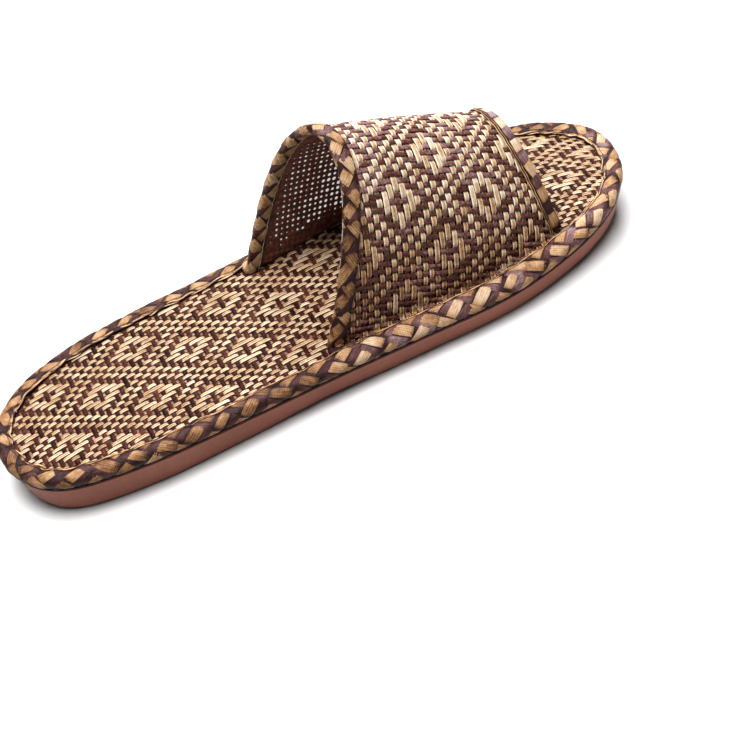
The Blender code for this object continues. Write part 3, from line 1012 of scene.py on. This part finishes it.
EDGE_PROFILE = np.array([
    # inward from the edge, out from the strap's outer face: from the outer flange to the inner
    (5.0, 0.40), (4.8, 0.80), (3.6, 1.0), (2.2, 1.0), (0.7, 0.92), (-0.3, 0.6), (-0.85, 0.0),
    (-0.95, -0.8), (-0.8, -1.55), (-0.3, -2.1), (0.9, -2.4), (2.4, -2.5), (3.9, -2.45),
    (4.6, -2.1),
])
EDGE_V = lengths(EDGE_PROFILE)
FOLD_V = EDGE_V[7]


def edge_surface(edge_t, edge_x, inward):
    """A tape folded over one edge of the strap, as a function of place, way across and out."""
    t = np.linspace(edge_t[0] - 3.6, edge_t[-1] + 3.6, 400)
    x = np.interp(t, edge_t, edge_x)
    line = on_strap(x + inward * 3.0, t, np.full(len(t), 1.4))
    places = lengths(line)
    places = places - np.interp(edge_t[0], t, places)

    def surface(place, across, out):
        here = np.interp(place, places, t)
        a, g, a_rate, g_rate = on_profile(EDGE_PROFILE, EDGE_V, across)
        a = a + g_rate * out
        g = g - a_rate * out
        place_x = np.interp(here, edge_t, edge_x) + inward * a
        return on_strap(place_x, here + 0 * place_x, g)

    return surface, (places[0], places[-1])


def edge_tape(name, surface, ends, inward):
    """The dark ground of a tape folded over an edge, closed at both feet."""
    place = np.linspace(ends[0] + 0.2, ends[1] - 0.2, 150)
    across = np.linspace(0.05, EDGE_V[-1] - 0.05, 26)
    back = across[::-1][::3]
    outside = surface(place[:, None], across[None], np.zeros((1, len(across))))
    inside = surface(place[:, None], back[None], np.full((1, len(back)), -0.35))
    points = np.concatenate([outside, inside], axis=1)
    rows, columns = points.shape[:2]
    faces, caps = ring_quads(rows, columns), end_caps(rows, columns)
    if inward > 0:
        faces, caps = faces[:, ::-1], caps[:, ::-1]
    uv = np.stack(np.broadcast_arrays(place[:, None], np.r_[across, back] / STRAND_ROUND), -1)
    return add_mesh(name, points, [faces, caps], TAPE_DARK, uv=uv,
                    tone=np.full(points.shape[:2], GROUND_PAINTED_SHADE))


back_surface, back_ends = edge_surface(BACK_T, BACK_X, 1)
front_surface, front_ends = edge_surface(FRONT_T, FRONT_X, -1)
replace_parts(edge_tape("back_tape", back_surface, back_ends, 1), "back_binding")
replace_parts(edge_tape("front_tape", front_surface, front_ends, -1), "front_binding")


def edge_centres(ends, first, pitch, rows):
    """A braid's repeat along an edge: each row's way across, its shift and its lean."""
    centres = []
    for across, shift, lean in rows:
        place = np.arange(first + shift * pitch, ends[1], pitch)
        place = place[place > ends[0]]
        centres += [(u, across, lean) for u in place]
    return centres


back_rows = edge_centres(back_ends, 2.3, 11.8, [
    (2.3, 0.0, 1), (5.5, 0.48, -1), (9.2, 0.2, 1), (12.4, 0.7, -1)])
back_reach = (0.2, EDGE_V[-1] - 0.5)


def back_light(place):
    """Painted shade on the strands along the strap's back edge: darker down towards the inner foot.
    """
    return 0.16 + 0.64 * smoothstep((place - 42) / 30)


lay_braid("back_tape", "straw", back_surface, back_rows, (3.7, 2.05), back_reach, back_light)
# The dark strands take this painted shade more strongly.
lay_braid("back_tape", "dark", back_surface, back_rows, (3.4, 1.3), back_reach,
          lambda place: 1.4 * back_light(place) - 0.1, shift=3.6)
front_reach = (0.55, EDGE_V[-1] - 0.5)


def front_light(place):
    """Painted shade on the strands along the strap's front edge: darker down towards the inner foot,
    paler higher up.
    """
    return 0.26 + 1.12 * smoothstep((place - 8) / 30)


FRONT_ANGLES = (0.06, 1.0)
lay_braid("front_tape", "straw", front_surface,
          edge_centres(front_ends, 5.0, 11.2, [(4.5, 0.0, -1), (10.9, 0.3, 1)]),
          (3.3, 3.4), front_reach, front_light, angles=FRONT_ANGLES)
# The dark strands take this painted shade more strongly.
lay_braid("front_tape", "dark", front_surface,
          edge_centres(front_ends, 5.0, 11.2, [(4.5, 0.5, -1), (10.9, 0.8, 1)]),
          (2.7, 3.4), front_reach, lambda place: 1.4 * front_light(place) - 0.35,
          angles=FRONT_ANGLES)


# ---------------------------------------------------------------- threads, stitches, loose fibres

ROUND = np.stack([np.cos(np.arange(6) * np.pi / 3), np.sin(np.arange(6) * np.pi / 3)], -1)


THREAD_STEP = 0.6


def thread(bundle, surface, ends, across, radius, lift, stitch):
    """A thread along a tape, dipping in at each stitch unless their length is nought."""
    place = np.arange(ends[0], ends[1], THREAD_STEP)
    out = lift + 0 * place
    if stitch:
        out = out + radius * 1.4 * (np.abs(np.sin(np.pi * place / stitch)) ** 0.35 - 0.8)
    way = (across(place) if callable(across) else across) + 0.10 * np.sin(place * 1.1)
    path = surface(place, way, out)
    away = surface(place, way, out + 0.5) - path
    bundle.carry(path, away, ROUND * radius, place, 0.5)


pale, dark, gold = Bundle(), Bundle(), Bundle()
rim_ends = (0.3, RIM_LENGTH - 0.3)
FLANGE_V = EDGE_V[-1] - 1.2
for row in (
    # bundle, tape, its ends, way across, radius, height over the tape, length of a stitch
    (gold, front_surface, front_ends, 0.2, 0.17, 0.02, 0),
    (dark, front_surface, front_ends, 0.62, 0.10, 0.06, 0),
    (gold, front_surface, front_ends, 1.0, 0.10, 0.10, 0),
    (dark, back_surface, back_ends, 0.5, 0.22, 0.0, 0),
    (gold, back_surface, back_ends, 0.1, 0.16, 0.05, 0),
    (pale, back_surface, (31.0, 70.0), FOLD_V + 0.5, 0.10, 0.12, 0),
    (pale, front_surface, front_ends, FOLD_V + 0.5, 0.10, 0.10, 0),
    (pale, back_surface, back_ends, FLANGE_V, 0.11, 0.12, 3.0),
    (pale, front_surface, front_ends, FLANGE_V, 0.11, 0.12, 3.0),
    (dark, on_rim, rim_ends, lambda place: rim_edge(place) + 0.05, 0.24, 0.0, 0),
    (dark, on_rim, rim_ends, lambda place: rim_edge(place) - 1.3, 0.13, 0.30, 3.4),
    (dark, on_rim, rim_ends, 0.6, 0.42, 0.66, 0),
    # Painted highlight: a pale cord just past the toe for the bright line between the tape and the
    # sole.
    (pale, on_rim, (318.0, 402.0), 0.2, 0.14, 0.45, 0),
):
    thread(*row)
pale.finish("pale_threads", THREAD_PALE, "sewing_thread")
dark.finish("dark_threads", THREAD_DARK, "sewing_thread")
gold.finish("edge_selvage", STRAW_SLIVER, "braided_tape")


def loose_fibres():
    """Short straw ends that stand out along the strap's feet and beside the rim tape."""
    bundle = Bundle()
    section = ROUND[::2]
    for side, foot_side, count in ((-1, 0, 110), (1, 1, 60)):
        x = 128 + 102 * CHANCE.uniform(0, 1, count) ** 0.7
        foot = feet_at(x)[foot_side]
        start = foot - side * CHANCE.uniform(0.5, 3.5, count)
        for number in range(count):
            steps = np.linspace(0, 1, 6)
            length = CHANCE.uniform(1.5, 5.0)
            lean = CHANCE.uniform(-3.5, 3.5)
            t = start[number] + side * steps * length
            here = x[number] + lean * steps
            height = CHANCE.uniform(0.3, 1.5)
            out = 0.25 + height * np.sin(steps * np.pi * CHANCE.uniform(0.5, 1.0))
            path = on_strap(here, t, out)
            radius = CHANCE.uniform(0.06, 0.17)
            taper = (1 - 0.6 * steps)[:, None, None]
            bundle.carry(path, read_sheet(SHEET_OUT, here, t), section * radius * taper,
                         steps * length, CHANCE.uniform(0.2, 0.8))
    return bundle.finish("loose_fibres", FIBRE, "woven_mat")


def tape_selvage():
    """Thin straw slivers that lie along the inner edge of the rim tape."""
    bundle = Bundle()
    section = ROUND * np.array([1.0, 0.45])
    place = 0.0
    while place < RIM_LENGTH - 12:
        length = CHANCE.uniform(4, 13)
        steps = np.linspace(0, 1, 14)
        here = place + length * steps
        across = rim_edge(here) - CHANCE.uniform(-0.3, 0.9)
        across = across + 0.35 * np.sin(steps * np.pi * 1.2 + place)
        radius = CHANCE.uniform(0.18, 0.42)
        taper = (0.25 + 0.75 * np.sin(steps * np.pi) ** 0.6)[:, None, None]
        path = on_rim(here, across, 0.02 + 0.12 * np.sin(steps * np.pi))
        away = on_rim(here, across, 0.8 + 0 * here) - path
        bundle.carry(path, away, section * radius * taper, here, CHANCE.uniform(0.2, 0.8))
        place += length * CHANCE.uniform(0.3, 0.9)
    return bundle.finish("tape_selvage", STRAW_SLIVER, "braided_tape")


loose_fibres()
tape_selvage()

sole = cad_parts["sole"]
sole.data.materials.clear()
sole.data.materials.append(sole_foam())

inner_foot, outer_foot = feet_at(STRAP_REFERENCE)


# ---------------------------------------------------------------- floor, light and camera

def add_floor():
    """A plain pale floor."""
    f = Finish("floor_paint", roughness=0.75, specular_ior_level=0.2)
    f.join("Base Color", f.ramp(f.noise(f.place("Object"), 3.0, 2.0),
                                [(0.3, (0.50, 0.50, 0.50)), (0.7, (0.53, 0.53, 0.53))]))
    mesh = bpy.data.meshes.new("floor")
    corner = 3.0
    mesh.from_pydata([(-corner, -corner, 0), (corner, -corner, 0), (corner, corner, 0),
                      (-corner, corner, 0)], [], [(0, 1, 2, 3)])
    mesh.materials.append(f.material)
    floor = bpy.data.objects.new("floor", mesh)
    bpy.context.scene.collection.objects.link(floor)


def add_light(name, place, aim, size, power):
    """A soft square light at a place, turned to its aim."""
    data = bpy.data.lights.new(name, "AREA")
    data.shape = "RECTANGLE"
    data.size, data.size_y = size
    data.energy = power
    light = bpy.data.objects.new(name, data)
    light.location = place
    light.rotation_euler = (Vector(aim) - Vector(place)).to_track_quat("-Z", "Y").to_euler()
    bpy.context.scene.collection.objects.link(light)


# Degrees and metres, and the lens and the width of what it fills in millimetres
CAMERA_AZIMUTH, CAMERA_ELEVATION, CAMERA_ROLL = -13.46, 45.89, -18.23
CAMERA_PLACE = (-0.08810, -0.41736, 0.40685)
CAMERA_SENSOR, CAMERA_LENS = 36.0, 71.1231


def add_camera():
    """The camera: its direction from the slipper, its roll and its place."""
    azimuth, elevation, roll = np.radians([CAMERA_AZIMUTH, CAMERA_ELEVATION, CAMERA_ROLL])
    away = np.array([np.sin(azimuth) * np.cos(elevation), -np.cos(azimuth) * np.cos(elevation),
                     np.sin(elevation)])
    level = np.cross(-away, (0, 0, 1))
    level /= np.linalg.norm(level)
    upright = np.cross(level, -away)
    right = np.cos(roll) * level + np.sin(roll) * upright
    up = np.cos(roll) * upright - np.sin(roll) * level
    data = bpy.data.cameras.new("camera")
    data.sensor_width, data.lens = CAMERA_SENSOR, CAMERA_LENS
    camera = bpy.data.objects.new("camera", data)
    turned = Matrix(np.stack([right, up, away], axis=1).tolist()).to_4x4()
    camera.matrix_world = Matrix.Translation(CAMERA_PLACE) @ turned
    bpy.context.scene.collection.objects.link(camera)
    bpy.context.scene.camera = camera


add_floor()
add_light("key", (0.45, 0.85, 0.85), (0.03, 0, 0.03), (0.6, 0.4), 22.0)
add_light("top", (-0.05, -0.08, 1.2), (0.02, 0, 0.03), (0.8, 0.5), 37.0)
world = bpy.data.worlds.new("studio")
world.use_nodes = True
sky = world.node_tree.nodes["Background"]
sky.inputs["Color"].default_value = (1.0, 1.0, 1.0, 1)
sky.inputs["Strength"].default_value = 0.10
bpy.context.scene.world = world
bpy.context.scene.view_settings.view_transform = "Standard"
add_camera()

bpy.context.view_layer.update()
